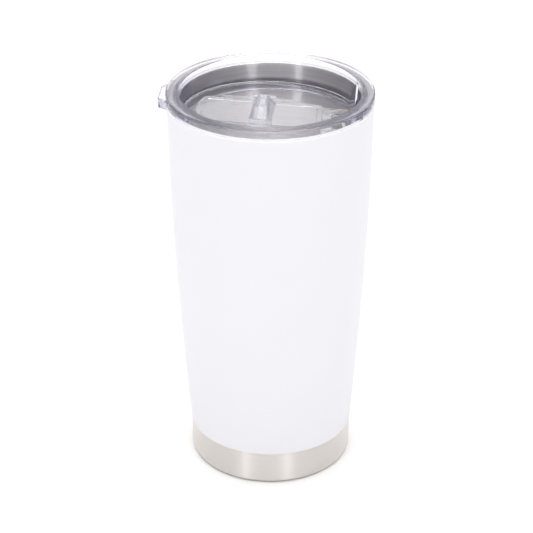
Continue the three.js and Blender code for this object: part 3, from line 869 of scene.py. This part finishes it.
def guide_rail(side):
    """One rail with a lip along its top, its section rounded and its ends eased."""
    inner, outer = RAIL_INNER, RAIL_INNER + RAIL_THICKNESS
    section = rounded([
        (inner, -1),
        (outer, -1),
        (outer, RAIL_HEIGHT - RAIL_LIP, 0.15),
        (outer + RAIL_LIP, RAIL_HEIGHT - RAIL_LIP, 0.12),
        (outer + RAIL_LIP, RAIL_HEIGHT, 0.2),
        (inner, RAIL_HEIGHT, 0.3),
    ])
    if side < 0:
        section = (section * [-1, 1])[::-1]
    return on_floor(slab(section, RAIL_FRONT - RAIL_LENGTH, RAIL_FRONT, 0.15, place=(1, 2, 0)))


def pry_tab():
    """A short tab past the flange, tapered in plan with round corners and rounded edges."""
    tip, root = TAB_TIP_WIDTH / 2, TAB_ROOT_WIDTH / 2
    start = math.sqrt(FLANGE_RADIUS**2 - root**2)
    within = FLANGE_RADIUS - 2.5
    outline = rounded([
        (-within, -root), (-start, -root, 0.5), (-TAB_REACH, -tip, 2.2),
        (-TAB_REACH, tip, 2.2), (-start, root, 0.5), (-within, root),
    ])
    return slab(outline[::-1], TAB_FOOT, TAB_TOP, 0.45)


def ejector_ring(along, across):
    """A faint raised ring that a mould's ejector pin leaves."""
    points, faces = turned(rounded([
        (1.2, -0.2), (1.5, -0.2), (1.5, 0.12, 0.06), (1.2, 0.12, 0.06),
    ]), sides=48)
    return on_floor((points + [along, across, 0], faces))


def lid_body():
    """The shell with its flat wall, sump, sip hole, rails, tab and two ejector rings."""
    return combined("lid_body_piece", lid_shell(), [
        ("UNION", sip_wall()),
        ("DIFFERENCE", sump()),
        ("DIFFERENCE", sip_hole()),
        ("UNION", guide_rail(1)),
        ("UNION", guide_rail(-1)),
        ("UNION", pry_tab()),
        ("UNION", ejector_ring(-14.1, -6)),
        ("UNION", ejector_ring(-16, 8.8)),
    ])


def lid_gasket():
    """Silicone ring in the plug's groove, with two soft ribs that meet the mouth."""
    low, top, reach = gasket_low[2], gasket_high[2], gasket_high[0]
    inner, shoulder = GROOVE_RADIUS + HAIRLINE, PLUG_RADIUS - HAIRLINE
    third = (top - low) / 3
    return turned(rounded([
        (inner, low),
        (shoulder, low, 0.2),
        (reach, low + 0.7 * third, 0.25),
        (reach, low + third, 0.25),
        (PLUG_RADIUS, low + 1.5 * third, 0.3),
        (reach, low + 2 * third, 0.25),
        (reach, top - 0.7 * third, 0.25),
        (shoulder, top, 0.2),
        (inner, top),
    ]))


# ---- the slider ----


def plate_outline():
    """Outline of the slider's plate: round front corners, and a tail that is an arc about the lid's axis."""
    half, tail = SLIDER_WIDTH / 2, SLIDER_TAIL_RADIUS
    reach = math.asin(half / tail)
    angle = np.linspace(np.pi - 0.8 * reach, np.pi + 0.8 * reach, 25)
    arc = np.stack([tail * np.cos(angle), tail * np.sin(angle)], axis=1)
    shoulder = -tail * math.cos(reach) + 0.6
    return rounded([
        (SLIDER_FRONT, -half, SLIDER_CORNER), (SLIDER_FRONT, half, SLIDER_CORNER),
        (shoulder, half, SLIDER_CORNER + 0.1), *arc, (shoulder, -half, SLIDER_CORNER + 0.1),
    ], steps=8)


def tray(outline):
    """A shallow tray cut into the plate's top, which leaves a raised border."""
    top = GAP + SLIDER_THICKNESS
    return slab(inset(outline, TRAY_MARGIN), top - TRAY_DEPTH, top + 1, 0.3)


def grip_stack(thinner, low):
    """The grip as rounded rectangles stacked up from its foot.

    Its half-width across the slide narrows in a straight line above the shoulder. Its half-width along the
    slide narrows fast at first and then hardly, as top + (foot - top) (1 - v)^2.4, where v is the share of
    the way from the plate's top to the grip's top, and its uppermost edge is a quarter circle.
    """
    plate_top = GAP + SLIDER_THICKNESS - thinner
    high = GRIP_HEIGHT - thinner
    edge = 0.7 if thinner == 0 else 0.3
    straight = np.concatenate([[low], np.linspace(plate_top, high - edge, 16)])
    t = np.linspace(0, np.pi / 2, ARC_STEPS)[1:]
    height = np.concatenate([straight, high - edge + edge * np.sin(t)])
    shrink = np.concatenate([np.zeros(len(straight)), edge * (1 - np.cos(t))])
    v = np.clip((height - plate_top) / (high - plate_top), 0, 1)
    along = GRIP_TOP_WIDTH / 2 + (GRIP_FOOT_WIDTH - GRIP_TOP_WIDTH) / 2 * (1 - v) ** 2.4 - thinner - shrink
    shoulder = RAIL_HEIGHT + GAP
    w = np.clip((height - shoulder) / (high - shoulder), 0, 1)
    across = GRIP_SHOULDER_LENGTH / 2 + (GRIP_TOP_LENGTH - GRIP_SHOULDER_LENGTH) / 2 * w - thinner - shrink
    quarter = np.linspace(0, np.pi / 2, GRIP_CORNER_STEPS)
    angle = np.concatenate([quarter + turn * np.pi / 2 for turn in (2, 3, 0, 1)])
    side = np.repeat([(-1, -1), (1, -1), (1, 1), (-1, 1)], GRIP_CORNER_STEPS, axis=0)
    x = side[:, 0] * (along[:, None] - GRIP_CORNER) + GRIP_CORNER * np.cos(angle) + GRIP_ALONG
    y = side[:, 1] * (across[:, None] - GRIP_CORNER) + GRIP_CORNER * np.sin(angle)
    z = np.broadcast_to(height[:, None], x.shape)
    return skin(np.stack([x, y, z], axis=-1))


def slider_arm(side):
    """One arm over a rail, down into a leg whose hook catches under the rail's lip."""
    over = RAIL_HEIGHT + GAP
    rail_outer = RAIL_INNER + RAIL_THICKNESS
    leg_inner = rail_outer + RAIL_LIP + GAP
    hook_top = RAIL_HEIGHT - RAIL_LIP - GAP
    root = SLIDER_WIDTH / 2 - 2 * ARM_THICKNESS
    section = rounded([
        (root, GAP), (SLIDER_WIDTH / 2, GAP), (SLIDER_WIDTH / 2, over, 0.2), (leg_inner, over, 0.2),
        (leg_inner, hook_top, 0.1), (rail_outer + GAP, hook_top, 0.1), (rail_outer + GAP, GAP, 0.1),
        (leg_inner + ARM_THICKNESS, GAP, 0.25), (leg_inner + ARM_THICKNESS, over + ARM_THICKNESS, 0.6),
        (root, over + ARM_THICKNESS),
    ])
    if side < 0:
        section = (section * [-1, 1])[::-1]
    half = GRIP_FOOT_WIDTH / 2
    return slab(section, GRIP_ALONG - half, GRIP_ALONG + half, 0.2, place=(1, 2, 0))


def slider():
    """The plate with its tray, arms and hollow grip, laid on the sloping floor."""
    outline = plate_outline()
    plate = slab(outline, GAP, GAP + SLIDER_THICKNESS, 0.25)
    return combined("slider_piece", on_floor(plate), [
        ("DIFFERENCE", on_floor(tray(outline))),
        ("UNION", on_floor(slider_arm(1))),
        ("UNION", on_floor(slider_arm(-1))),
        ("UNION", on_floor(grip_stack(0, GAP))),
        ("DIFFERENCE", on_floor(grip_stack(GRIP_WALL, -1))),
    ])


# ---- put together ----

sheet_steel = inner_steel()
liner_finish = liner_steel()
cup_pieces = [
    ("outer_shell", brushed_steel(), outer_shell()),
    ("body_coating", white_coating(), body_coating()),
    ("liner_wall", liner_finish, liner_wall()),
    ("liner_bottom", liner_finish, liner_bottom()),
    ("reflective_foil", copper_foil(), reflective_foil()),
    ("outer_bottom", sheet_steel, outer_bottom()),
    ("base_cover", base_steel(), base_cover()),
    ("vacuum_seal_bead", solder_glass(), vacuum_seal_bead()),
    ("getter_holder", sheet_steel, getter_holder()),
    ("getter_pellet", getter_alloy(), getter_pellet()),
]
for node, finish, surface in cup_pieces:
    dress(mesh_object(node + "_piece", surface), node, "tumbler", finish)
dress(lid_body(), "lid_body", "lid", clear_plastic("clear_lid", LID_VIOLET, LID_HAZE))
dress(mesh_object("lid_gasket_piece", lid_gasket()), "lid_gasket", "lid", silicone())
dress(slider(), "slider", "slider", clear_plastic("clear_slider", SLIDER_VIOLET, SLIDER_HAZE))

# ---- floor, light and camera ----

CAMERA_AZIMUTH = math.radians(4.5)
CAMERA_DISTANCE = 0.6964  # from the cup's axis, along the floor
CAMERA_HEIGHT = 0.4669
CAMERA_TILT = math.radians(61.615)  # up from straight down
CAMERA_ROLL = math.radians(-0.14)
AIM_OFFSET = math.radians(0.145)  # the camera looks a little to the left of the axis
LENS = 121.1
LAMP_AIM = 0.09  # height on the cup that the lamps face
STRIP_DISTANCE = 1.0
STRIP_HEIGHT = 0.62
STRIP_SIZE = (0.16, 1.0)
STRIP_POWER = 0.95
OVERHEAD_LIGHT = 1.95
OVERHEAD_SPREAD = math.radians(60)
ROOM_LIGHT = 1.0  # all round, at the cup's sides
ROOM_SEEN = 1.2  # what the camera itself sees
MORE_BEHIND = 0.25
LESS_AT_HORIZON = 0.7
FLOOR_HALF = 12000  # the floor's three sizes are millimetres
FLOOR_TOP = -0.2  # just under the foot ring
FLOOR_THICKNESS = 20


def studio_floor():
    """A plain pale floor just under the foot ring."""
    far = FLOOR_HALF
    corners = [(-far, -far), (far, -far), (far, far), (-far, far)]
    floor = mesh_object("studio_floor", slab(corners, FLOOR_TOP - FLOOR_THICKNESS, FLOOR_TOP))
    finish = Finish("pale_floor")
    finish.surface(Base_Color=(0.9, 0.9, 0.9, 1), Roughness=0.9, Specular_IOR_Level=0.1)
    floor.data.materials.append(finish.material)


def strip(name, azimuth):
    """A tall soft box at an azimuth round the cup, measured from the camera's, that faces the cup."""
    data = bpy.data.lights.new(name, "AREA")
    data.shape = "RECTANGLE"
    data.size, data.size_y = STRIP_SIZE
    data.energy = STRIP_POWER
    made = bpy.data.objects.new(name, data)
    bpy.context.scene.collection.objects.link(made)
    turn = CAMERA_AZIMUTH + math.radians(azimuth)
    made.location = (STRIP_DISTANCE * math.sin(turn), -STRIP_DISTANCE * math.cos(turn), STRIP_HEIGHT)
    made.rotation_euler = (math.atan2(STRIP_DISTANCE, STRIP_HEIGHT - LAMP_AIM), 0, turn)


def white_room():
    """Light from all round: a little brighter from behind the cup, and dimmer near the horizon, which gives
    clear plastic its dark lines. The camera itself sees plain white behind the cup, without the dimmer part.
    """
    world = bpy.data.worlds.new("white_room")
    room = Nodes(world, "ShaderNodeOutputWorld")
    towards = room.node("ShaderNodeTexCoord", result="Generated")
    behind = room.node("ShaderNodeVectorMath", {"operation": "DOT_PRODUCT"}, {0: towards, 1: (0, 1, 0)}, 1)
    above = room.height(towards)
    horizon = room.climb(above, -0.1, 0) * (1 - room.climb(above, 0.12, 0.3))
    seen = room.node("ShaderNodeLightPath", result="Is Camera Ray")
    lit = (ROOM_LIGHT + behind * MORE_BEHIND) * (1 - horizon * LESS_AT_HORIZON)
    strength = seen * ROOM_SEEN + (1 - seen) * lit
    room.show(room.node("ShaderNodeBackground", None, {"Strength": strength}))
    bpy.context.scene.world = world


def overhead():
    """A wide soft light from straight above."""
    data = bpy.data.lights.new("overhead", "SUN")
    data.energy = OVERHEAD_LIGHT
    data.angle = OVERHEAD_SPREAD
    bpy.context.scene.collection.objects.link(bpy.data.objects.new("overhead", data))


def camera():
    """The camera, placed by its distance and height, then turned, tilted and rolled."""
    data = bpy.data.cameras.new("camera")
    data.lens = LENS
    data.sensor_width = 36
    viewer = bpy.data.objects.new("camera", data)
    bpy.context.scene.collection.objects.link(viewer)
    x, y = CAMERA_DISTANCE * math.sin(CAMERA_AZIMUTH), -CAMERA_DISTANCE * math.cos(CAMERA_AZIMUTH)
    place = Matrix.Translation((x, y, CAMERA_HEIGHT))
    turn = Matrix.Rotation(CAMERA_AZIMUTH + AIM_OFFSET, 4, "Z")
    tilt = Matrix.Rotation(CAMERA_TILT, 4, "X")
    roll = Matrix.Rotation(CAMERA_ROLL, 4, "Z")
    viewer.matrix_world = place @ turn @ tilt @ roll
    bpy.context.scene.camera = viewer


def light_limits():
    """Plain colours, and enough bounces for light to leave the deep steel cup."""
    scene = bpy.context.scene
    scene.view_settings.view_transform = "Standard"
    scene.cycles.max_bounces = 24
    scene.cycles.glossy_bounces = 16
    scene.cycles.transmission_bounces = 24


studio_floor()
white_room()
overhead()
strip("strip_right", 23)
strip("strip_left", -35)
light_limits()
camera()
